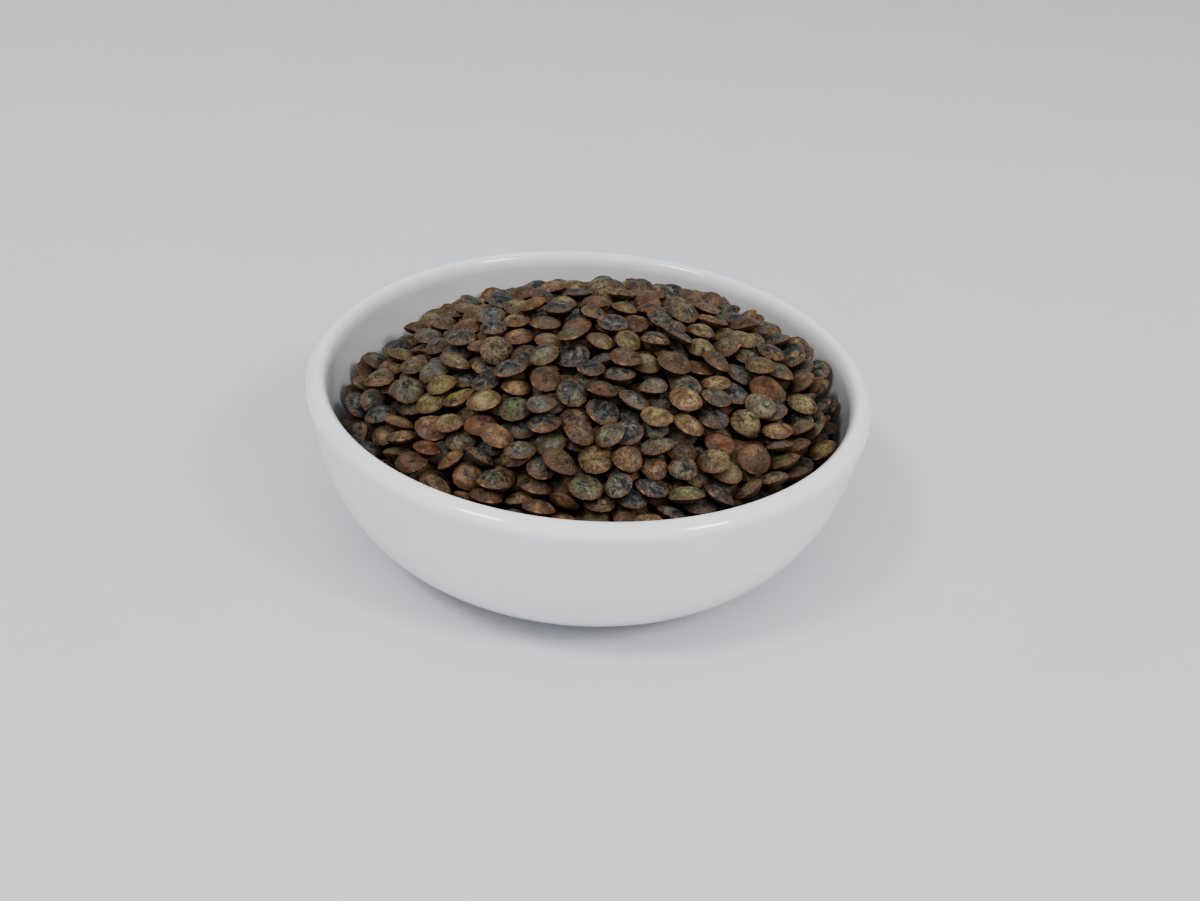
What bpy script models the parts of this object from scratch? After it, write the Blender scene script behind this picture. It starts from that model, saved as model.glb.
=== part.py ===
"""A round bowl of white-glazed ceramic, heaped with dry lentils.

The origin is on the ground under the middle of the foot. +Z is up. The heap leans: it lies
deeper in the bowl on the -X side, and reaches nearly to the rim on the +X side.
"""

import math

import bmesh
import bpy
import numpy as np
from mathutils import Matrix, Vector

# Bowl, all lengths in metres
RIM_RADIUS = 0.0470
BOWL_HEIGHT = 0.0300
BODY_RADIUS = 0.0463
FOOT_RADIUS = 0.0263
FOOT_HEIGHT = 0.0015
FOOT_RING_WIDTH = 0.0025
FOOT_CHAMFER = 0.0003
RECESS_DEPTH = 0.0012
FLOOR_THICKNESS = 0.0038
INSIDE_RADIUS = 0.0434
INSIDE_FLAT_RADIUS = 0.0230
CROWN_RADIUS = 0.0450
CROWN_INSIDE_HEIGHT = 0.0028
CROWN_INSIDE_POWER = 2.0
CROWN_OUTSIDE_HEIGHT = 0.0020
CROWN_OUTSIDE_POWER = 3.0
CROWN_FALL = 0.0010
CROWN_FALL_POWER = 1.5

# The lip stands proud of the body and eases back to it over this depth
LIP_EASE_DEPTH = 0.0075
LIP_EASE_POWER = 1.5

# Powers of the two walls' curve: 2 would be a plain ellipse, more is fuller
DEPTH_POWER = 2.1
WIDTH_POWER = 2.5

INSIDE_STEPS = 7
CROWN_STEPS = 6
OUTSIDE_STEPS = 10
TURN_STEPS = 44
SHARP_ANGLE = math.radians(35)

# Heap, as the surface that the tops of the lentils reach
HEAP_EDGE_DEPTH = 0.0066
HEAP_RISE = 0.0162
HEAP_SPREAD = 0.0430
HEAP_POWER = 1.8
HEAP_LEAN = 0.063
LAYER_DEPTH = 0.0075

# Lentils: least, commonest and greatest radius, and thickness as a share of the width
LENTIL_RADII = (0.0022, 0.00266, 0.0030)
LENTIL_FLATNESS = (0.38, 0.44, 0.50)
LENTIL_SIDES = 7
SHOULDER_RADIUS = 0.62
SHOULDER_HEIGHT = 0.80

# How they settle: spreads of place and of tilt, tried in turn round the best seat so far
SETTLING = ((0.0016, 0.30), (0.0007, 0.18), (0.0003, 0.10), (0.00012, 0.05))
TRIES = 40
SPOTS = 8
TIP_COST = 0.0006
WALL_LEAN = 1.0
WALL_LEAN_POWER = 8
WALL_SHARE = 0.15
OWN_TILT = 0.18
TOP_SHARE = 0.3
EDGE_SHARE = 0.6
MISSES = 150
MAP_STEP = 0.0003
SEED = 20

# The solid keeps the lentils that show most, on a core that reaches up between them
FUSED_LENTILS = 255
CORE_DEPTH = 0.0012
CORE_CORNER = 0.0006
CORE_RINGS = 9
CORE_WALL_STEPS = 6
SURFACE_REACH = 0.0032

# Room left between the filling and the bowl
CORE_CLEARANCE = 0.0003
LENTIL_CLEARANCE = 0.0005
WALL_CURVE_STEPS = 40
MERGE_DISTANCE = 0.00001

GLAZE = ((0.86, 0.87, 0.88), 0.18)
LENTIL_SKIN = ((0.16, 0.12, 0.07), 0.60)


def clear_scene():
    for old in list(bpy.data.objects):
        bpy.data.objects.remove(old, do_unlink=True)


def new_collection(name):
    collection = bpy.data.collections.new(name)
    bpy.context.scene.collection.children.link(collection)
    return collection


def finish(solid, name, color, roughness):
    """Gives a solid its one material."""
    material = bpy.data.materials.new(name)
    material.use_nodes = True
    shader = material.node_tree.nodes["Principled BSDF"]
    shader.inputs["Base Color"].default_value = (*color, 1.0)
    shader.inputs["Roughness"].default_value = roughness
    shader.inputs["Metallic"].default_value = 0.0
    solid.data.materials.clear()
    solid.data.materials.append(material)


def apply_modifiers(solid):
    graph = bpy.context.evaluated_depsgraph_get()
    solid.data = bpy.data.meshes.new_from_object(solid.evaluated_get(graph))
    solid.modifiers.clear()


def turned(name, profile, collection):
    """A solid turned round Z from a profile of (radius, height) that runs down its outer side."""
    mesh = bpy.data.meshes.new(name)
    points = [(radius, 0.0, height) for radius, height in profile]
    mesh.from_pydata(points, [(i, i + 1) for i in range(len(points) - 1)], [])
    solid = bpy.data.objects.new(name, mesh)
    collection.objects.link(solid)
    screw = solid.modifiers.new("turn", "SCREW")
    screw.steps = TURN_STEPS
    screw.render_steps = TURN_STEPS
    screw.use_merge_vertices = True
    screw.merge_threshold = MERGE_DISTANCE
    apply_modifiers(solid)
    return solid


def quarter_curve(flat_radius, full_radius, top, bottom, steps):
    """The curve of a full-bellied wall, from (full_radius, top) down to (flat_radius, bottom)."""
    points = []
    for step in range(steps + 1):
        angle = math.pi / 2 * step / steps
        radius = flat_radius + (full_radius - flat_radius) * math.cos(angle) ** (2 / WIDTH_POWER)
        points.append((radius, top - (top - bottom) * math.sin(angle) ** (2 / DEPTH_POWER)))
    return points


def inside_wall(steps):
    """The inside of the bowl, from the lip down to the edge of its flat floor."""
    top = BOWL_HEIGHT - CROWN_INSIDE_HEIGHT
    floor = RECESS_DEPTH + FLOOR_THICKNESS
    return quarter_curve(INSIDE_FLAT_RADIUS, INSIDE_RADIUS, top, floor, steps)


def outside_wall(steps):
    """The outside, from the widest point of the lip down to the foot."""
    points = []
    widest = BOWL_HEIGHT - CROWN_OUTSIDE_HEIGHT
    for radius, height in quarter_curve(FOOT_RADIUS, BODY_RADIUS, widest, FOOT_HEIGHT, steps):
        fade = max(0.0, 1 - (widest - height) / LIP_EASE_DEPTH)
        proud = (RIM_RADIUS - BODY_RADIUS) * fade**LIP_EASE_POWER
        points.append((radius + proud, height))
    return points


def crown(steps):
    """The top of the lip between its two sides, without the sides' own points.

    It is round on the inside, and falls outward to a tighter corner on the outside.
    """
    points = []
    for step in range(1, steps):
        angle = math.pi * (1 - step / steps)
        side, depth, fall, power = RIM_RADIUS, CROWN_OUTSIDE_HEIGHT, CROWN_FALL, CROWN_OUTSIDE_POWER
        if angle > math.pi / 2:
            side, depth, fall, power = INSIDE_RADIUS, CROWN_INSIDE_HEIGHT, 0.0, CROWN_INSIDE_POWER
        out = abs(math.cos(angle)) ** (2 / power)
        drop = (depth - fall) * (1 - math.sin(angle) ** (2 / power)) + fall * out**CROWN_FALL_POWER
        points.append((CROWN_RADIUS + (side - CROWN_RADIUS) * out, BOWL_HEIGHT - drop))
    return points


def build_bowl(collection):
    ring_inside = FOOT_RADIUS - FOOT_RING_WIDTH
    profile = [(0.0, RECESS_DEPTH + FLOOR_THICKNESS)]
    profile += reversed(inside_wall(INSIDE_STEPS))
    profile += crown(CROWN_STEPS)
    profile += outside_wall(OUTSIDE_STEPS)
    profile += [
        (FOOT_RADIUS, FOOT_CHAMFER),
        (FOOT_RADIUS - FOOT_CHAMFER, 0.0),
        (ring_inside, 0.0),
        (ring_inside - FOOT_CHAMFER, RECESS_DEPTH),
        (0.0, RECESS_DEPTH),
    ]
    bowl = turned("bowl", profile, collection)
    bowl.data.shade_smooth()
    bowl.data.set_sharp_from_angle(angle=SHARP_ANGLE)
    finish(bowl, "white_glaze", *GLAZE)


def heap_height(x, y):
    """Height of the surface that the tops of the lentils reach."""
    dome = 1 - (np.hypot(x, y) / HEAP_SPREAD) ** HEAP_POWER
    return BOWL_HEIGHT - HEAP_EDGE_DEPTH + HEAP_LEAN * x + HEAP_RISE * dome


def inside_wall_less(clearance, steps):
    """The inside wall moved towards the filling, as arrays of radius and height."""
    radius, height = np.array(inside_wall(steps)).T
    along_radius, along_height = np.gradient(radius), np.gradient(height)
    length = np.hypot(along_radius, along_height)
    radius = radius + clearance * along_height / length
    height = height - clearance * along_radius / length
    return radius, height


class Heap:
    """Lentils dropped one at a time on a map of heights, each settling into a low seat near by.

    A seat is a row of x, y and the lentil's two slopes, along x and along y.
    """

    def __init__(self):
        self.random = np.random.default_rng(SEED)
        self.middle = math.ceil(INSIDE_RADIUS / MAP_STEP)
        self.line = np.arange(-self.middle, self.middle + 1) * MAP_STEP
        x, y = np.meshgrid(self.line, self.line, indexing="ij")
        wall_radius, wall_height = inside_wall_less(LENTIL_CLEARANCE, WALL_CURVE_STEPS)
        wall = np.interp(np.hypot(x, y), wall_radius[::-1], wall_height[::-1], right=1.0)
        self.limit = heap_height(x, y)
        self.height = np.maximum(self.limit - LAYER_DEPTH, wall)
        self.owner = np.full(x.shape, -1)
        self.lentils = []

    def cell(self, place):
        return np.rint(place / MAP_STEP).astype(int) + self.middle

    def span(self, seats, radius, thick):
        """The map cells round each seat, and how far the lentil reaches below and above its centre."""
        x, y, slope_x, slope_y = seats.T[:, :, None, None]
        length = np.sqrt(1 + slope_x**2 + slope_y**2)
        reach = math.ceil(radius / MAP_STEP) + 1
        offsets = np.arange(-reach, reach + 1)
        rows = np.clip(self.cell(x) + offsets[:, None], 0, 2 * self.middle)
        columns = np.clip(self.cell(y) + offsets, 0, 2 * self.middle)
        rows, columns = np.broadcast_arrays(rows, columns)
        dx, dy = self.line[rows] - x, self.line[columns] - y
        flat, steep = radius**-2, thick**-2 - radius**-2
        along = (slope_x * dx + slope_y * dy) / length
        a = flat + steep / length**2
        b = steep / length * along
        c = flat * (dx**2 + dy**2) + steep * along**2 - 1
        inside = b**2 - a * c
        covered = inside > 0
        root = np.sqrt(np.where(covered, inside, 0.0))
        return rows, columns, covered, (b + root) / a, (root - b) / a

    def levels(self, seats, radius, thick):
        """The height of the lentil's centre as it touches the map, at each seat."""
        rows, columns, covered, below, _ = self.span(seats, radius, thick)
        ground = np.where(covered, self.height[rows, columns] + below, -1.0)
        return np.where(covered.any(axis=(1, 2)), ground.max(axis=(1, 2)), 1.0)

    def wall_slopes(self, places):
        """How a lentil leans at each place: flat in the middle, and on the wall when beside it."""
        distance = np.maximum(np.hypot(places[:, 0], places[:, 1]), MAP_STEP)[:, None]
        return -WALL_LEAN * (distance / INSIDE_RADIUS) ** WALL_LEAN_POWER / distance * places

    def settle(self, spot, radius, thick):
        """Tries seats round a spot, then closer and closer round the best one found.

        The best seat is the one deepest in the heap that doesn't tip the lentil far from its rest.
        """
        own = self.random.normal(size=2) * OWN_TILT
        best = np.array([*spot, 0.0, 0.0])
        best[2:] = self.wall_slopes(best[None, :2])[0] + own
        for shift, turn in SETTLING:
            change = self.random.normal(size=(TRIES, 4)) * (shift, shift, turn, turn)
            seats = np.vstack([best, best + change])
            level = self.levels(seats, radius, thick)
            depth = heap_height(seats[:, 0], seats[:, 1]) - level
            tip = ((seats[:, 2:] - self.wall_slopes(seats[:, :2]) - own) ** 2).sum(axis=1)
            pick = int(np.argmax(depth - TIP_COST * tip))
            best = seats[pick]
        return best, level[pick], depth[pick]

    def emptiest_spot(self):
        """The deepest of a few places drawn at random over the bowl, or at times along its wall."""
        distance = np.sqrt(self.random.random(SPOTS))
        if self.random.random() < WALL_SHARE:
            distance = np.ones(SPOTS)
        distance *= INSIDE_RADIUS - EDGE_SHARE * LENTIL_RADII[1]
        angle = self.random.random(SPOTS) * 2 * np.pi
        x, y = distance * np.cos(angle), distance * np.sin(angle)
        cells = self.cell(x), self.cell(y)
        pick = int(np.argmax(self.limit[cells] - self.height[cells]))
        return x[pick], y[pick]

    def drop(self):
        """Adds one lentil, unless its seat would stand too far out of the heap."""
        radius = self.random.triangular(*LENTIL_RADII)
        thick = radius * self.random.triangular(*LENTIL_FLATNESS)
        seat, level, depth = self.settle(self.emptiest_spot(), radius, thick)
        up = Vector((seat[2], seat[3], 1.0)).normalized()
        rise = math.sqrt(radius**2 * (1 - up.z**2) + (thick * up.z) ** 2)
        if depth < TOP_SHARE * rise:
            return False
        rows, columns, covered, _, above = self.span(seat[None, :], radius, thick)
        higher = covered & (level + above > self.height[rows, columns])
        self.height[rows[higher], columns[higher]] = level + above[higher]
        self.owner[rows[higher], columns[higher]] = len(self.lentils)
        self.lentils.append((Vector((seat[0], seat[1], level)), up, radius, thick))
        return True

    def fill(self):
        misses = 0
        while misses < MISSES:
            misses = 0 if self.drop() else misses + 1

    def surface(self, x, y):
        """The mean height of the lentils that show round a place."""
        rows = np.abs(self.line - x) < SURFACE_REACH
        columns = np.abs(self.line - y) < SURFACE_REACH
        near = np.ix_(rows, columns)
        return self.height[near][self.owner[near] >= 0].mean()

    def shown_first(self):
        """The lentils that show from above, those that show most first."""
        numbers, areas = np.unique(self.owner[self.owner >= 0], return_counts=True)
        return [self.lentils[number] for number in numbers[np.argsort(-areas, kind="stable")]]


def lentil_mesh(center, up, radius, thick):
    """A lentil with few sides: a rounded upper face over a plainer lower one, at its true size."""
    shape = bmesh.new()
    profile = [
        (0.0, thick),
        (radius * SHOULDER_RADIUS, thick * SHOULDER_HEIGHT),
        (radius, 0.0),
        (0.0, -thick),
    ]
    verts = [shape.verts.new((out, 0.0, height)) for out, height in profile]
    edges = [shape.edges.new(pair) for pair in zip(verts, verts[1:])]
    bmesh.ops.spin(
        shape,
        geom=verts + edges,
        cent=(0, 0, 0),
        axis=(0, 0, 1),
        angle=2 * math.pi,
        steps=LENTIL_SIDES,
        use_merge=True,
    )
    bmesh.ops.remove_doubles(shape, verts=shape.verts, dist=MERGE_DISTANCE)
    bmesh.ops.recalc_face_normals(shape, faces=shape.faces)
    turn = Vector((0, 0, 1)).rotation_difference(up).to_matrix().to_4x4()
    shape.transform(Matrix.Translation(center) @ turn)
    mesh = bpy.data.meshes.new("lentil")
    shape.to_mesh(mesh)
    shape.free()
    return mesh


def build_core(heap, collection):
    """The inside of the heap: it fills the bowl, and its top follows the lentils that show."""
    wall_radius, wall_height = inside_wall_less(CORE_CLEARANCE, CORE_WALL_STEPS)
    floor = RECESS_DEPTH + FLOOR_THICKNESS + CORE_CLEARANCE
    wall_height[-1] = floor
    edge_radius, edge = wall_radius[1], wall_height[1]
    profile = [(out, edge) for out in np.linspace(0.0, edge_radius - CORE_CORNER, CORE_RINGS)]
    profile.append((edge_radius, edge - CORE_CORNER))
    profile += zip(wall_radius[2:], wall_height[2:])
    profile.append((0.0, floor))
    core = turned("lentils", profile, collection)
    for vertex in core.data.vertices:
        x, y, height = vertex.co
        top = heap.surface(x, y) - CORE_DEPTH
        height = floor + (top - floor) * (height - floor) / (edge - floor)
        limit = np.interp(-height, -wall_height, wall_radius)
        inward = min(1.0, limit / max(math.hypot(x, y), MERGE_DISTANCE))
        vertex.co = (x * inward, y * inward, height)
    return core


def keep_largest(mesh):
    """Leaves only the largest closed body: no loose scrap and no sealed hollow."""
    shape = bmesh.new()
    shape.from_mesh(mesh)
    unseen = set(shape.verts)
    bodies = []
    while unseen:
        front = [unseen.pop()]
        body = list(front)
        while front:
            vert = front.pop()
            near = {edge.other_vert(vert) for edge in vert.link_edges} & unseen
            unseen -= near
            front += near
            body += near
        bodies.append(body)
    bodies.sort(key=len)
    for body in bodies[:-1]:
        bmesh.ops.delete(shape, geom=body, context="VERTS")
    shape.to_mesh(mesh)
    shape.free()


def build_lentils(collection):
    """The heap: the lentils that show most, fused on the core by one union."""
    heap = Heap()
    heap.fill()
    lentils = build_core(heap, collection)
    loose = new_collection("loose_lentils")
    for lentil in heap.shown_first()[:FUSED_LENTILS]:
        loose.objects.link(bpy.data.objects.new("lentil", lentil_mesh(*lentil)))
    union = lentils.modifiers.new("fuse", "BOOLEAN")
    union.operation = "UNION"
    union.operand_type = "COLLECTION"
    union.collection = loose
    apply_modifiers(lentils)
    for piece in list(loose.objects):
        bpy.data.objects.remove(piece, do_unlink=True)
    bpy.data.collections.remove(loose)
    keep_largest(lentils.data)
    finish(lentils, "lentil_skin", *LENTIL_SKIN)


def main():
    clear_scene()
    parts = new_collection("bowl_of_lentils")
    build_bowl(parts)
    build_lentils(parts)


main()
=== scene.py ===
import math

import bmesh
import bpy
import numpy as np
from mathutils import Matrix, Vector


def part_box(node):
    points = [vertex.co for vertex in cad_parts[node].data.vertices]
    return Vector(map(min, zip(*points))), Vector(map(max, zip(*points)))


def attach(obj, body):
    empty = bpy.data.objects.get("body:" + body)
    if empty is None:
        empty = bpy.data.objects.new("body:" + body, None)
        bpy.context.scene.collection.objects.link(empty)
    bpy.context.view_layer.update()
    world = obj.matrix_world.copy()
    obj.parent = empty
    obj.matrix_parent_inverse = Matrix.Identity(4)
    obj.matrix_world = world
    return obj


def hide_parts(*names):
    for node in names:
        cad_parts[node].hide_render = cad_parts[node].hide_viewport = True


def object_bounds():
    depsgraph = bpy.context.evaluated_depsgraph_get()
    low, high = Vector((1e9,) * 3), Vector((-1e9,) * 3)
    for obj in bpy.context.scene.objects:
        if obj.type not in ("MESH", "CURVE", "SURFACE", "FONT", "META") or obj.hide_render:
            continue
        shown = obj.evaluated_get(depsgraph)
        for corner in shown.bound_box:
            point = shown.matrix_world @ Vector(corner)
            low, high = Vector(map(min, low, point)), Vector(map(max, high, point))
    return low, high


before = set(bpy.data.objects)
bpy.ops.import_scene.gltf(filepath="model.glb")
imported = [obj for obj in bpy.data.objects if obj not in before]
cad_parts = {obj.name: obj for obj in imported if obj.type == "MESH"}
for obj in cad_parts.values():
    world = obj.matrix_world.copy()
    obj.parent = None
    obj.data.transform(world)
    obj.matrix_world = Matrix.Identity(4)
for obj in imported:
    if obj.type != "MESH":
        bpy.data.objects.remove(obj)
cad_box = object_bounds()


# The bowl
# A small round serving bowl of white stoneware, turned on a wheel and dipped in a clear-white
# gloss glaze. Its lip is rounded and stands a little proud of the body. It rests on a low foot
# ring, whose ground underside is left bare.
rim_radius = 0.0470
bowl_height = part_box("bowl")[1].z
body_radius = 0.0463
foot_radius = 0.0263
foot_height = 0.0015
foot_ring_width = 0.0025
foot_rounding = 0.0004
recess_depth = 0.0012
floor_level = 0.0050
inside_radius = 0.0434
inside_flat_radius = 0.0230
crown_radius = 0.0450
crown_inside_height = 0.0028
crown_inside_power = 2.0
crown_outside_height = 0.0020
crown_outside_power = 3.0
crown_fall = 0.0010
crown_fall_power = 1.5
lip_ease_depth = 0.0075
lip_ease_power = 1.5

# Powers of the two walls' curve: 2 would be a plain ellipse, more is fuller
depth_power = 2.1
width_power = 2.5

# The recess's rounded corner: how far in from the ring, and how deep as a share
recess_corner = ((0.0002, 0.8), (0.0007, 1.0))
bare_height = 0.0002
weld = 0.000002
inside_steps, crown_steps, outside_steps, turn_steps = 30, 24, 40, 160

# The glaze runs thin and thick in soft clouds, and pools a little above the foot
glaze_white, glaze_thin, glaze_pool = (238, 238, 239), (233, 233, 235), (214, 219, 222)
pool_top, pool_bottom = 0.0045, 0.0010
ripple_depth = 0.00012
clay_pale, clay_dark = (214, 203, 186), (196, 183, 164)
clay_tooth = 0.00008


def quarter_curve(flat_radius, full_radius, top, bottom, steps):
    """The curve of a full-bellied wall, from (full_radius, top) down to (flat_radius, bottom)."""
    points = []
    for step in range(steps + 1):
        angle = math.pi / 2 * step / steps
        radius = flat_radius + (full_radius - flat_radius) * math.cos(angle) ** (2 / width_power)
        points.append((radius, top - (top - bottom) * math.sin(angle) ** (2 / depth_power)))
    return points


def inside_wall(steps):
    """The inside of the bowl, from the lip down to the edge of its flat floor."""
    top = bowl_height - crown_inside_height
    return quarter_curve(inside_flat_radius, inside_radius, top, floor_level, steps)


def outside_wall(steps):
    """The outside, from the widest point of the lip down to the foot."""
    points = []
    widest = bowl_height - crown_outside_height
    for radius, height in quarter_curve(foot_radius, body_radius, widest, foot_height, steps):
        fade = max(0.0, 1 - (widest - height) / lip_ease_depth)
        points.append((radius + (rim_radius - body_radius) * fade**lip_ease_power, height))
    return points


def crown(steps):
    """The top of the lip: round on the inside, and falling to a tighter corner on the outside."""
    points = []
    for step in range(1, steps):
        angle = math.pi * (1 - step / steps)
        side, depth, fall, power = rim_radius, crown_outside_height, crown_fall, crown_outside_power
        if angle > math.pi / 2:
            side, depth, fall, power = inside_radius, crown_inside_height, 0.0, crown_inside_power
        out = abs(math.cos(angle)) ** (2 / power)
        drop = (depth - fall) * (1 - math.sin(angle) ** (2 / power)) + fall * out**crown_fall_power
        points.append((crown_radius + (side - crown_radius) * out, bowl_height - drop))
    return points


def rounded_corner(radius, height, from_angle, to_angle, steps=4):
    """An arc of the foot ring's rounding, about its centre."""
    angles = [from_angle + (to_angle - from_angle) * step / steps for step in range(steps + 1)]
    return [
        (radius + foot_rounding * math.cos(angle), height + foot_rounding * math.sin(angle))
        for angle in angles
    ]


def turned_mesh(name, profile, steps):
    """Spins a profile that ends on the axis into one closed, smooth mesh."""
    shape = bmesh.new()
    verts = [shape.verts.new((radius, 0.0, height)) for radius, height in profile]
    edges = [shape.edges.new(pair) for pair in zip(verts, verts[1:])]
    bmesh.ops.spin(
        shape,
        geom=verts + edges,
        cent=(0, 0, 0),
        axis=(0, 0, 1),
        angle=2 * math.pi,
        steps=steps,
        use_merge=True,
    )
    bmesh.ops.remove_doubles(shape, verts=shape.verts, dist=weld)
    bmesh.ops.recalc_face_normals(shape, faces=shape.faces)
    mesh = bpy.data.meshes.new(name)
    shape.to_mesh(mesh)
    shape.free()
    mesh.shade_smooth()
    return mesh


def add_piece(name, mesh):
    """Shows a mesh where it was modelled, unturned and at its true size."""
    piece = bpy.data.objects.new(name, mesh)
    bpy.context.scene.collection.objects.link(piece)
    return piece


ring_inside = foot_radius - foot_ring_width
bowl_profile = [(0.0, floor_level), (inside_flat_radius * 0.5, floor_level)]
bowl_profile += reversed(inside_wall(inside_steps))
bowl_profile += crown(crown_steps)
bowl_profile += outside_wall(outside_steps)
bowl_profile += rounded_corner(foot_radius - foot_rounding, foot_rounding, 0, -math.pi / 2)
bowl_profile += rounded_corner(ring_inside + foot_rounding, foot_rounding, -math.pi / 2, -math.pi)
bowl_profile += [(ring_inside - inward, recess_depth * share) for inward, share in recess_corner]
bowl_profile += [(ring_inside * 0.5, recess_depth), (0.0, recess_depth)]
bowl_mesh = turned_mesh("bowl_body", bowl_profile, turn_steps)
bowl_piece = add_piece("bowl_body", bowl_mesh)


def color_of(red, green, blue):
    """A colour from the screen's 8-bit values."""
    return tuple(
        level / 12.92 if level <= 0.04045 else ((level + 0.055) / 1.055) ** 2.4
        for level in (red / 255, green / 255, blue / 255)
    ) + (1.0,)


def new_material(name):
    """A material with its nodes, its links and its shader."""
    material = bpy.data.materials.new(name)
    material.use_nodes = True
    nodes = material.node_tree.nodes
    return material, nodes, material.node_tree.links, nodes["Principled BSDF"]


def noise(nodes, links, vector, scale, detail=2.0, roughness=0.5, distortion=0.0):
    """Cloudy noise of so many clouds to the metre."""
    node = nodes.new("ShaderNodeTexNoise")
    node.inputs["Scale"].default_value = scale
    node.inputs["Detail"].default_value = detail
    node.inputs["Roughness"].default_value = roughness
    node.inputs["Distortion"].default_value = distortion
    links.new(vector, node.inputs["Vector"])
    return node.outputs["Fac"]


def spread(nodes, links, value, low, high, to_low=0.0, to_high=1.0):
    """Stretches a mask from low..high to to_low..to_high, with soft ends."""
    node = nodes.new("ShaderNodeMapRange")
    node.interpolation_type = "SMOOTHSTEP"
    links.new(value, node.inputs["Value"])
    for socket, number in (
        ("From Min", low),
        ("From Max", high),
        ("To Min", to_low),
        ("To Max", to_high),
    ):
        if isinstance(number, (int, float)):
            node.inputs[socket].default_value = number
        else:
            links.new(number, node.inputs[socket])
    return node.outputs["Result"]


def mixed(nodes, links, factor, first, second, blend="MIX"):
    """The first colour with the second laid over it, as far as the factor says."""
    node = nodes.new("ShaderNodeMix")
    node.data_type = "RGBA"
    node.blend_type = blend
    for socket, value in (("Factor", factor), ("A", first), ("B", second)):
        place = [s for s in node.inputs if s.name == socket and s.enabled][0]
        if isinstance(value, (int, float, tuple)):
            place.default_value = value
        else:
            links.new(value, place)
    return [s for s in node.outputs if s.enabled][0]


def maths(nodes, links, operation, first, second=0.0):
    node = nodes.new("ShaderNodeMath")
    node.operation = operation
    for socket, value in zip(node.inputs, (first, second)):
        if isinstance(value, (int, float)):
            socket.default_value = value
        else:
            links.new(value, socket)
    return node.outputs["Value"]


def times(nodes, links, first, second):
    return maths(nodes, links, "MULTIPLY", first, second)


def bump(nodes, links, height, strength, depth):
    """The surface's normal, ruffled by a height."""
    node = nodes.new("ShaderNodeBump")
    node.inputs["Strength"].default_value = strength
    node.inputs["Distance"].default_value = depth
    links.new(height, node.inputs["Height"])
    return node.outputs["Normal"]


glaze, nodes, links, shader = new_material("white_glaze")
place = nodes.new("ShaderNodeTexCoord").outputs["Object"]
cloud = spread(nodes, links, noise(nodes, links, place, 55, 3), 0.3, 0.7)
white = mixed(nodes, links, cloud, color_of(*glaze_white), color_of(*glaze_thin))
axes = nodes.new("ShaderNodeSeparateXYZ")
links.new(place, axes.inputs["Vector"])
pooled = spread(nodes, links, axes.outputs["Z"], pool_top, pool_bottom)
white = mixed(nodes, links, times(nodes, links, pooled, 0.5), white, color_of(*glaze_pool))
links.new(white, shader.inputs["Base Color"])
gloss = noise(nodes, links, place, 160, 2)
links.new(spread(nodes, links, gloss, 0.3, 0.7, 0.08, 0.13), shader.inputs["Roughness"])
shader.inputs["IOR"].default_value = 1.5
ripple = noise(nodes, links, place, 130, 2, 0.4)
links.new(bump(nodes, links, ripple, 0.25, ripple_depth), shader.inputs["Normal"])
bowl_mesh.materials.append(glaze)

bare_clay, nodes, links, shader = new_material("bare_foot_ring")
place = nodes.new("ShaderNodeTexCoord").outputs["Object"]
grit = noise(nodes, links, place, 2600, 4, 0.6)
specks = spread(nodes, links, grit, 0.35, 0.65)
clay = mixed(nodes, links, specks, color_of(*clay_pale), color_of(*clay_dark))
links.new(clay, shader.inputs["Base Color"])
shader.inputs["Roughness"].default_value = 0.85
links.new(bump(nodes, links, grit, 0.5, clay_tooth), shader.inputs["Normal"])
bowl_mesh.materials.append(bare_clay)
for face in bowl_mesh.polygons:
    if face.center.z < bare_height and face.center.xy.length > ring_inside:
        face.material_index = 1

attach(bowl_piece, "root")
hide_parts("bowl")


# The lentils
# Small dark green lentils, dried whole in their skins: blue-black marbling over olive, brown and
# tan, with a pale scar on the rim where each one hung in its pod. They are poured in, so each
# has settled into the lowest seat near where it fell, a little tipped by those under it.

# The surface that the tops of the lentils reach, and the loose layer under it
heap_edge_depth = 0.0066
heap_rise = 0.0162
heap_spread = 0.0430
heap_power = 1.8
heap_lean = 0.063
layer_depth = 0.0075

# Lentils: least, commonest and greatest radius, and thickness as a share of the width
lentil_radii = (0.0022, 0.00266, 0.0030)
lentil_flatness = (0.38, 0.44, 0.50)

# How they settle: spreads of place and of tilt, tried in turn round the best seat so far
settling = ((0.0016, 0.30), (0.0007, 0.18), (0.0003, 0.10), (0.00012, 0.05))
tries = 40
spots = 8
tip_cost = 0.0006
wall_lean = 1.0
wall_lean_power = 8
wall_share = 0.15
own_tilt = 0.18
top_share = 0.3
edge_share = 0.6
most_misses = 150
map_step = 0.0003
wall_clearance = 0.0005
wall_steps = 40
pour_seed = 20
looks_seed = 7

# One plain lentil of radius and half thickness 1, as rings of (radius, side) down to its foot
lens_rings = ((0.0, 1), (0.50, 1), (0.82, 1), (1.0, 1), (0.82, -1), (0.50, -1), (0.0, -1))
lens_power = 0.74
lens_sides = 12

# How far lentils differ: oval, lobed and warped outlines, fuller faces, dimples and skins
oval_spread, lobe_spread, warp_spread = 0.038, 0.018, 0.10
fuller_spread, dimple_spread, dimple_size = 0.12, 0.12, 0.45
scar_reach, scar_notch = 0.42, 0.06
tone_spread, hue_spread, marbling_spread, fleck_spread = 0.09, 0.025, 0.18, 0.25
wrinkle_depth = 0.00016


def heap_height(x, y):
    """Height of the surface that the tops of the lentils reach."""
    dome = 1 - (np.hypot(x, y) / heap_spread) ** heap_power
    return bowl_height - heap_edge_depth + heap_lean * x + heap_rise * dome


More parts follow.
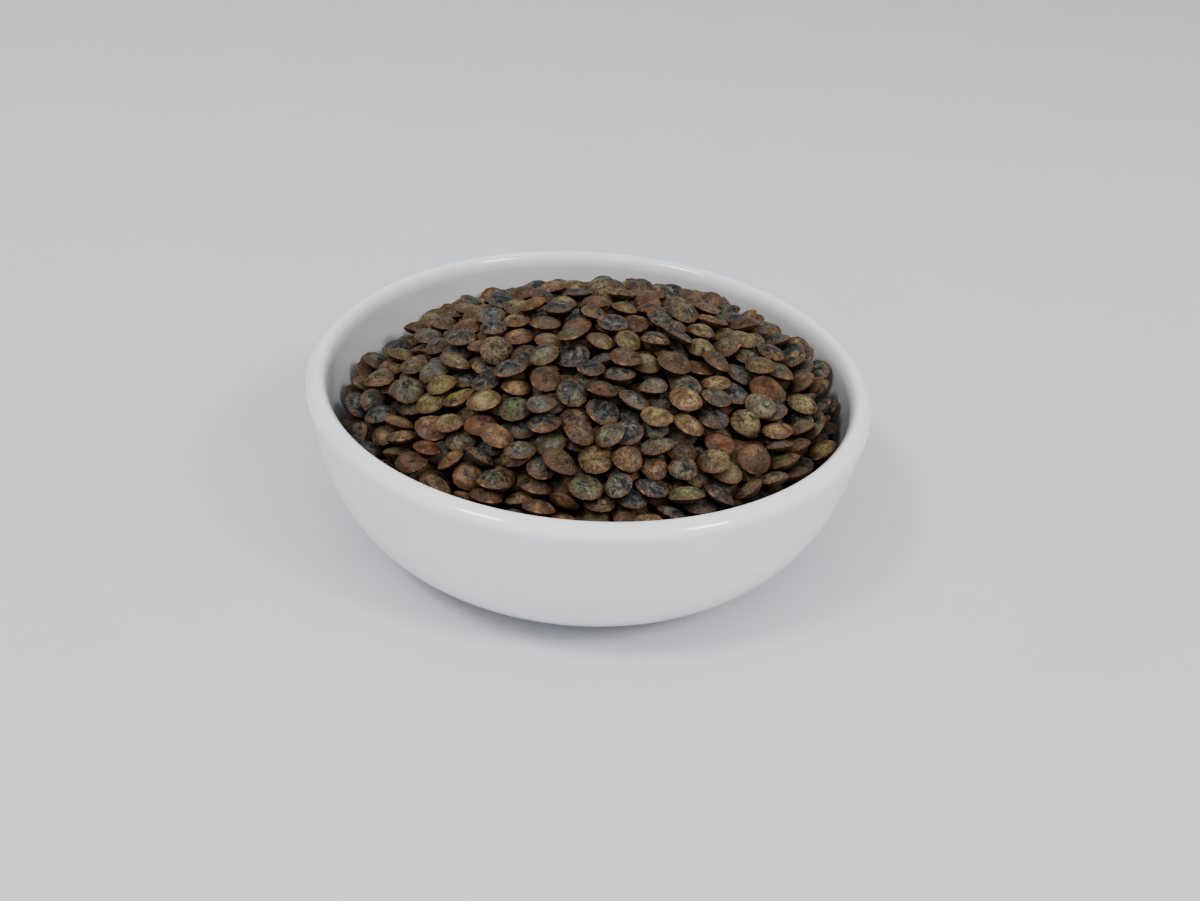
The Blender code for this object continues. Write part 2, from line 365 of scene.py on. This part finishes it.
def inside_wall_less(clearance, steps):
    """The inside wall moved towards the filling, as arrays of radius and height."""
    radius, level = np.array(inside_wall(steps)).T
    along_radius, along_height = np.gradient(radius), np.gradient(level)
    length = np.hypot(along_radius, along_height)
    return radius + clearance * along_height / length, level - clearance * along_radius / length


class Heap:
    """Lentils dropped one at a time on a map of heights, each settling into a low seat near by.

    A seat is a row of x, y and the lentil's two slopes, along x and along y.
    """

    def __init__(self):
        self.random = np.random.default_rng(pour_seed)
        self.middle = math.ceil(inside_radius / map_step)
        self.line = np.arange(-self.middle, self.middle + 1) * map_step
        x, y = np.meshgrid(self.line, self.line, indexing="ij")
        wall_radius, wall_height = inside_wall_less(wall_clearance, wall_steps)
        wall = np.interp(np.hypot(x, y), wall_radius[::-1], wall_height[::-1], right=1.0)
        self.limit = heap_height(x, y)
        self.height = np.maximum(self.limit - layer_depth, wall)
        self.lentils = []

    def cell(self, place):
        return np.rint(place / map_step).astype(int) + self.middle

    def span(self, seats, radius, thick):
        """The map cells round each seat, and the lentil's reach below and above its centre."""
        x, y, slope_x, slope_y = seats.T[:, :, None, None]
        length = np.sqrt(1 + slope_x**2 + slope_y**2)
        reach = math.ceil(radius / map_step) + 1
        offsets = np.arange(-reach, reach + 1)
        rows = np.clip(self.cell(x) + offsets[:, None], 0, 2 * self.middle)
        columns = np.clip(self.cell(y) + offsets, 0, 2 * self.middle)
        rows, columns = np.broadcast_arrays(rows, columns)
        dx, dy = self.line[rows] - x, self.line[columns] - y
        flat, steep = radius**-2, thick**-2 - radius**-2
        along = (slope_x * dx + slope_y * dy) / length
        a = flat + steep / length**2
        b = steep / length * along
        c = flat * (dx**2 + dy**2) + steep * along**2 - 1
        inside = b**2 - a * c
        covered = inside > 0
        root = np.sqrt(np.where(covered, inside, 0.0))
        return rows, columns, covered, (b + root) / a, (root - b) / a

    def levels(self, seats, radius, thick):
        """The height of the lentil's centre as it touches the map, at each seat."""
        rows, columns, covered, below, _ = self.span(seats, radius, thick)
        ground = np.where(covered, self.height[rows, columns] + below, -1.0)
        return np.where(covered.any(axis=(1, 2)), ground.max(axis=(1, 2)), 1.0)

    def wall_slopes(self, places):
        """How a lentil leans at each place: flat in the middle, and on the wall when beside it."""
        distance = np.maximum(np.hypot(places[:, 0], places[:, 1]), map_step)[:, None]
        return -wall_lean * (distance / inside_radius) ** wall_lean_power / distance * places

    def settle(self, spot, radius, thick):
        """Tries seats round a spot, then closer and closer round the best one found.

        The best seat is the one deepest in the heap that doesn't tip the lentil far from its rest.
        """
        own = self.random.normal(size=2) * own_tilt
        best = np.array([*spot, 0.0, 0.0])
        best[2:] = self.wall_slopes(best[None, :2])[0] + own
        for shift, turn in settling:
            change = self.random.normal(size=(tries, 4)) * (shift, shift, turn, turn)
            seats = np.vstack([best, best + change])
            level = self.levels(seats, radius, thick)
            depth = heap_height(seats[:, 0], seats[:, 1]) - level
            tip = ((seats[:, 2:] - self.wall_slopes(seats[:, :2]) - own) ** 2).sum(axis=1)
            pick = int(np.argmax(depth - tip_cost * tip))
            best = seats[pick]
        return best, level[pick], depth[pick]

    def emptiest_spot(self):
        """The deepest of a few places drawn at random over the bowl, or at times along its wall."""
        distance = np.sqrt(self.random.random(spots))
        if self.random.random() < wall_share:
            distance = np.ones(spots)
        distance *= inside_radius - edge_share * lentil_radii[1]
        angle = self.random.random(spots) * 2 * np.pi
        x, y = distance * np.cos(angle), distance * np.sin(angle)
        cells = self.cell(x), self.cell(y)
        pick = int(np.argmax(self.limit[cells] - self.height[cells]))
        return x[pick], y[pick]

    def drop(self):
        """Adds one lentil, unless its seat would stand too far out of the heap."""
        radius = self.random.triangular(*lentil_radii)
        thick = radius * self.random.triangular(*lentil_flatness)
        seat, level, depth = self.settle(self.emptiest_spot(), radius, thick)
        up = Vector((seat[2], seat[3], 1.0)).normalized()
        rise = math.sqrt(radius**2 * (1 - up.z**2) + (thick * up.z) ** 2)
        if depth < top_share * rise:
            return False
        rows, columns, covered, _, above = self.span(seat[None, :], radius, thick)
        higher = covered & (level + above > self.height[rows, columns])
        self.height[rows[higher], columns[higher]] = level + above[higher]
        self.lentils.append((Vector((seat[0], seat[1], level)), up, radius, thick))
        return True

    def fill(self):
        """Drops lentils until no more find room."""
        misses = 0
        while misses < most_misses:
            misses = 0 if self.drop() else misses + 1


heap = Heap()
heap.fill()

lens_profile = [(out, side * (1 - out**2) ** lens_power) for out, side in lens_rings]
lens_mesh = turned_mesh("lens", lens_profile, lens_sides)
lens = np.array([vertex.co for vertex in lens_mesh.vertices])
lens_faces = [tuple(face.vertices) for face in lens_mesh.polygons]
bpy.data.meshes.remove(lens_mesh)

# Skins: the colour, how far blue-black marbling and dark flecks cover it, and how common it is
skins = {
    "olive_brown": (color_of(113, 107, 84), 0.50, 0.6, 6),
    "grey_olive": (color_of(104, 104, 90), 0.75, 0.5, 5),
    "brown": (color_of(116, 99, 79), 0.55, 0.4, 5),
    "dark_brown": (color_of(94, 79, 65), 0.65, 0.3, 3),
    "slate": (color_of(98, 97, 92), 0.95, 0.2, 5),
    "tan": (color_of(120, 108, 86), 0.10, 0.7, 1.0),
    "ochre": (color_of(114, 95, 65), 0.10, 0.1, 0.15),
    "red_brown": (color_of(104, 77, 62), 0.35, 0.2, 0.6),
    "yellow_olive": (color_of(112, 109, 78), 0.45, 0.5, 0.9),
    "green": (color_of(102, 110, 86), 0.25, 0.4, 0.1),
    "yellow": (color_of(132, 126, 72), 0.95, 0.4, 0.0),
}

# Lentils that stand out, at their places over the bowl in whole millimetres
placed_skins = (
    ("yellow", -20, -14),
    ("yellow_olive", -13, -34),
    ("yellow_olive", 30, -22),
    ("green", -13, -21),
    ("ochre", -20, -28),
    ("tan", 15, -23),
    ("tan", 20, -12),
    ("slate", 6, -23),
    ("slate", 11, -36),
    ("grey_olive", 27, -13),
    ("red_brown", 11, 11),
    ("red_brown", 16, -6),
)
looks = np.random.default_rng(looks_seed)
commonness = np.array([skin[3] for skin in skins.values()])
chances = commonness / commonness.sum()
kinds = looks.choice(list(skins), size=len(heap.lentils), p=chances)
centers = np.array([center for center, _, _, _ in heap.lentils])
for kind, x, y in placed_skins:
    x, y = x / 1000, y / 1000
    spot = (x, y, heap_height(x, y))
    kinds[np.argmin(np.linalg.norm(centers - spot, axis=1))] = kind
around = np.arctan2(lens[:, 1], lens[:, 0])
outward = np.hypot(lens[:, 0], lens[:, 1])
points, faces = [], []
skin_colors, grain_places, rims, scars, flecks = [], [], [], [], []
for number, (center, up, radius, thick) in enumerate(heap.lentils):
    color, marbling, flecking, _ = skins[kinds[number]]
    phase = looks.random(4) * 2 * np.pi
    oval, lobe = looks.normal(0, oval_spread), looks.normal(0, lobe_spread)
    warp, fuller = looks.normal(0, warp_spread), looks.normal(0, fuller_spread)
    dimple = max(0.0, looks.normal(0, dimple_spread))
    scar = np.exp(-((around / scar_reach) ** 2)) * outward**4
    outline = 1 + oval * np.cos(2 * around + phase[0]) + lobe * np.cos(3 * around + phase[1])
    outline -= scar_notch * scar
    raised = lens[:, 2] * (1 + fuller * np.sign(lens[:, 2]))
    raised -= dimple * np.exp(-((outward / dimple_size) ** 2)) * np.sign(lens[:, 2])
    raised += warp * np.cos(2 * around + phase[2]) * outward**2
    shape = np.column_stack([lens[:, 0] * outline, lens[:, 1] * outline, raised])
    turn = Vector((0, 0, 1)).rotation_difference(up).to_matrix() @ Matrix.Rotation(phase[3], 3, "Z")
    points.append((shape * (radius, radius, thick)) @ np.array(turn).T + np.array(center))
    faces += [tuple(corner + number * len(lens) for corner in face) for face in lens_faces]
    tint = np.array(color[:3]) * looks.normal(1, tone_spread) * looks.normal(1, hue_spread, 3)
    marbling = np.clip(marbling + looks.normal(0, marbling_spread), 0.0, 1.0)
    skin_colors.append(np.tile([*np.clip(tint, 0.0, 1.0), marbling], (len(lens), 1)))
    grain_places.append(lens * (radius, radius, thick) + looks.random(3) * 0.5)
    rims.append(outward)
    scars.append(scar)
    flecking = np.clip(flecking + looks.normal(0, fleck_spread), 0.0, 1.0)
    flecks.append(np.full(len(lens), flecking))

# The topmost lentils are shaved to the height of the solid
points = np.concatenate(points)
points[:, 2] = np.minimum(points[:, 2], cad_box[1].z)
heap_mesh = bpy.data.meshes.new("lentil_heap")
heap_mesh.from_pydata(points.tolist(), [], faces)
heap_mesh.shade_smooth()
for name, kind, field, values in (
    ("skin", "FLOAT_COLOR", "color", skin_colors),
    ("grain_place", "FLOAT_VECTOR", "vector", grain_places),
    ("rim", "FLOAT", "value", rims),
    ("scar", "FLOAT", "value", scars),
    ("flecks", "FLOAT", "value", flecks),
):
    layer = heap_mesh.attributes.new(name, kind, "POINT")
    layer.data.foreach_set(field, np.concatenate(values).astype(np.float32).ravel())

# The keel is a crisp edge
ends = np.zeros(2 * len(heap_mesh.edges), dtype=np.int32)
heap_mesh.edges.foreach_get("vertices", ends)
keel = np.tile(outward > 0.99, len(heap.lentils))[ends].reshape(-1, 2).all(axis=1)
heap_mesh.attributes.new("sharp_edge", "BOOLEAN", "EDGE").data.foreach_set("value", keel)
heap_piece = add_piece("lentil_heap", heap_mesh)


def attribute(nodes, name, output):
    """What a layer of the mesh says at the shaded point."""
    node = nodes.new("ShaderNodeAttribute")
    node.attribute_name = name
    return node.outputs[output]


skin_material, nodes, links, shader = new_material("lentil_skin")
grain = attribute(nodes, "grain_place", "Vector")
base = attribute(nodes, "skin", "Color")
marbled = attribute(nodes, "skin", "Alpha")
rim = attribute(nodes, "rim", "Fac")
scar = attribute(nodes, "scar", "Fac")
flecked = attribute(nodes, "flecks", "Fac")

# Broad clouds, from a browner to a lighter skin, that redden in places and towards the keel
cloud = noise(nodes, links, grain, 430, 4, 0.62)
brown_skin = mixed(nodes, links, 1.0, base, (0.74, 0.62, 0.50, 1.0), "MULTIPLY")
light_skin = mixed(nodes, links, 1.0, base, (1.78, 1.72, 1.55, 1.0), "MULTIPLY")
tone = mixed(nodes, links, spread(nodes, links, cloud, 0.38, 0.64), brown_skin, light_skin)
redness = maths(nodes, links, "ADD", rim, noise(nodes, links, grain, 480, 4, 0.65))
redness = times(nodes, links, spread(nodes, links, redness, 0.90, 1.46), 0.52)
tone = mixed(nodes, links, redness, tone, color_of(112, 80, 61))
blue_veil = noise(nodes, links, grain, 380, 3, 0.65)
blue_veil = times(nodes, links, spread(nodes, links, blue_veil, 0.46, 0.62), marbled)
blue_veil = times(nodes, links, blue_veil, 0.5)
tone = mixed(nodes, links, blue_veil, tone, color_of(84, 91, 93))
keel_line = times(nodes, links, spread(nodes, links, rim, 0.86, 1.0), 0.5)
tone = mixed(nodes, links, keel_line, tone, color_of(116, 74, 50))

# Flecks: dark ones in two sizes, and pale ones
fleck = noise(nodes, links, grain, 1700, 3, 0.7)
fleck = times(nodes, links, spread(nodes, links, fleck, 0.52, 0.58), flecked)
tone = mixed(nodes, links, times(nodes, links, fleck, 0.7), tone, color_of(40, 27, 18))
fine_fleck = noise(nodes, links, grain, 3300, 2, 0.6)
fine_fleck = times(nodes, links, spread(nodes, links, fine_fleck, 0.54, 0.62), 0.5)
tone = mixed(nodes, links, fine_fleck, tone, color_of(34, 25, 19))
pale = noise(nodes, links, grain, 1900, 2, 0.6)
pale = times(nodes, links, spread(nodes, links, pale, 0.60, 0.70), 0.35)
tone = mixed(nodes, links, pale, tone, color_of(170, 146, 110))

# Marbling, in soft-edged blue-black patches that thin out towards the keel, with painted sheen
# in pale blue-grey flecks
# Painted sheen: pale blue-grey flecks laid into the blue-black patches
painted_sheen = noise(nodes, links, grain, 1300, 4, 0.7)
painted_sheen = spread(nodes, links, painted_sheen, 0.44, 0.66)
marbling_and_sheen = mixed(nodes, links, painted_sheen, color_of(34, 34, 36), color_of(88, 95, 98))
patches = noise(nodes, links, grain, 700, 6, 0.74, 0.6)
start = maths(nodes, links, "SUBTRACT", 0.655, times(nodes, links, marbled, 0.23))
near_keel = times(nodes, links, spread(nodes, links, rim, 0.60, 1.0), 0.10)
start = maths(nodes, links, "ADD", start, near_keel)
patches = spread(nodes, links, patches, start, maths(nodes, links, "ADD", start, 0.10))
tone = mixed(nodes, links, times(nodes, links, patches, 0.92), tone, marbling_and_sheen)
pod_scar = times(nodes, links, spread(nodes, links, scar, 0.45, 0.85), 0.6)
tone = mixed(nodes, links, pod_scar, tone, color_of(176, 134, 106))
links.new(tone, shader.inputs["Base Color"])
links.new(spread(nodes, links, cloud, 0.3, 0.7, 0.46, 0.62), shader.inputs["Roughness"])
shader.inputs["IOR"].default_value = 1.42
wrinkles = noise(nodes, links, grain, 1100, 4, 0.65)
links.new(bump(nodes, links, wrinkles, 0.8, wrinkle_depth), shader.inputs["Normal"])
heap_mesh.materials.append(skin_material)

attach(heap_piece, "root")
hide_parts("lentils")


# The inside of the heap
# Below the lentils that can be seen the bowl is full of more of them, in the dark. One plain
# dark body, coloured with their painted shade, stands for those: it fills the bowl under the
# loose layer, clear of the wall.
core_clearance = 0.0003
core_top_gap = 0.0005
core_edge = 2
core_wall_steps, core_rings, core_turn_steps = 24, 28, 96
shade_brown, shade_black = (40, 30, 21), (12, 8, 5)

core_wall_radius, core_wall_height = inside_wall_less(core_clearance, core_wall_steps)
core_wall_height[-1] = floor_level + core_clearance
core_floor = core_wall_height[-1]
edge_radius, edge = core_wall_radius[core_edge], core_wall_height[core_edge]
core_profile = [(out, edge) for out in np.linspace(0.0, edge_radius, core_rings)]
core_profile += zip(core_wall_radius[core_edge + 1 :], core_wall_height[core_edge + 1 :])
core_profile.append((0.0, core_floor))
core_mesh = turned_mesh("lentil_heap_inside", core_profile, core_turn_steps)
for vertex in core_mesh.vertices:
    x, y, level = vertex.co
    top = heap_height(x, y) - layer_depth + core_top_gap
    level = core_floor + (top - core_floor) * (level - core_floor) / (edge - core_floor)
    limit = np.interp(-level, -core_wall_height, core_wall_radius)
    inward = min(1.0, limit / max(math.hypot(x, y), weld))
    vertex.co = (x * inward, y * inward, level)
core_piece = add_piece("lentil_heap_inside", core_mesh)

shade_material, nodes, links, shader = new_material("packed_lentils_painted_shade")
place = nodes.new("ShaderNodeTexCoord").outputs["Object"]
# Painted shade: each cell is dark brown at its middle and black towards its edges, where the gaps
# between lentils lie in shadow
seeds = nodes.new("ShaderNodeTexVoronoi")
seeds.inputs["Scale"].default_value = 230
links.new(place, seeds.inputs["Vector"])
shade_between_cells = spread(nodes, links, seeds.outputs["Distance"], 0.1, 0.6)
dark = mixed(nodes, links, shade_between_cells, color_of(*shade_brown), color_of(*shade_black))
links.new(dark, shader.inputs["Base Color"])
shader.inputs["Roughness"].default_value = 0.8
core_mesh.materials.append(shade_material)

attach(core_piece, "root")
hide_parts("lentils")


# The floor, the light and the camera
# A plain pale floor under even, slightly cool room light, with a wide window light in front and
# two small lamps beside it. The camera looks down from close by and is turned a few degrees.
floor_reach = 3.0
floor_pale, floor_paler = (218, 219, 223), (222, 223, 226)
room_color, room_strength = (0.97, 0.98, 1.0, 1.0), 0.47
white_light = (1.0, 1.0, 1.0)
middle = (0.0, 0.0, 0.025)

floor_mesh = bpy.data.meshes.new("floor")
shape = bmesh.new()
bmesh.ops.create_grid(shape, x_segments=1, y_segments=1, size=floor_reach)
shape.to_mesh(floor_mesh)
shape.free()
floor_piece = add_piece("floor", floor_mesh)
paper, nodes, links, shader = new_material("pale_floor")
place = nodes.new("ShaderNodeTexCoord").outputs["Object"]
fibre = noise(nodes, links, place, 40, 3)
pale = mixed(nodes, links, fibre, color_of(*floor_pale), color_of(*floor_paler))
links.new(pale, shader.inputs["Base Color"])
shader.inputs["Roughness"].default_value = 0.7
floor_mesh.materials.append(paper)


def soft_light(name, place, aim, size, power, color):
    """A round, soft lamp that faces a point."""
    light = bpy.data.lights.new(name, "AREA")
    light.shape = "DISK"
    light.size = size
    light.energy = power
    light.color = color
    lamp = bpy.data.objects.new(name, light)
    lamp.location = place
    lamp.rotation_euler = (Vector(aim) - Vector(place)).to_track_quat("-Z", "Y").to_euler()
    bpy.context.scene.collection.objects.link(lamp)


soft_light("window", (0.05, -0.66, 0.80), middle, 1.1, 1.4, white_light)
soft_light("left_lamp", (-0.40, -0.36, 0.75), middle, 0.22, 1.6, white_light)
soft_light("right_lamp", (0.56, -0.40, 0.66), middle, 0.22, 1.6, white_light)
world = bpy.data.worlds.new("soft_room")
world.use_nodes = True
room = world.node_tree.nodes["Background"]
room.inputs["Color"].default_value = room_color
room.inputs["Strength"].default_value = room_strength
bpy.context.scene.world = world

camera_place = Vector((0.00249, -0.1836, 0.1321))
camera_pitch = math.radians(33.05)
camera_roll = math.radians(4.252)
camera = bpy.data.cameras.new("camera")
camera.sensor_width = 36.0
camera.lens = 37.5
camera.clip_start = 0.005
camera_object = bpy.data.objects.new("camera", camera)
bpy.context.scene.collection.objects.link(camera_object)
look = Vector((0, math.cos(camera_pitch), -math.sin(camera_pitch)))
level_up = Vector((0, math.sin(camera_pitch), math.cos(camera_pitch)))
right = Vector((1, 0, 0)) * math.cos(camera_roll) + level_up * math.sin(camera_roll)
upward = level_up * math.cos(camera_roll) - Vector((1, 0, 0)) * math.sin(camera_roll)
camera_object.matrix_world = Matrix.Translation(camera_place) @ Matrix(
    (right, upward, -look)
).transposed().to_4x4()
bpy.context.scene.camera = camera_object
view = bpy.context.scene.view_settings
view.view_transform = "AgX"
view.look = "AgX - High Contrast"
view.exposure = 0.18
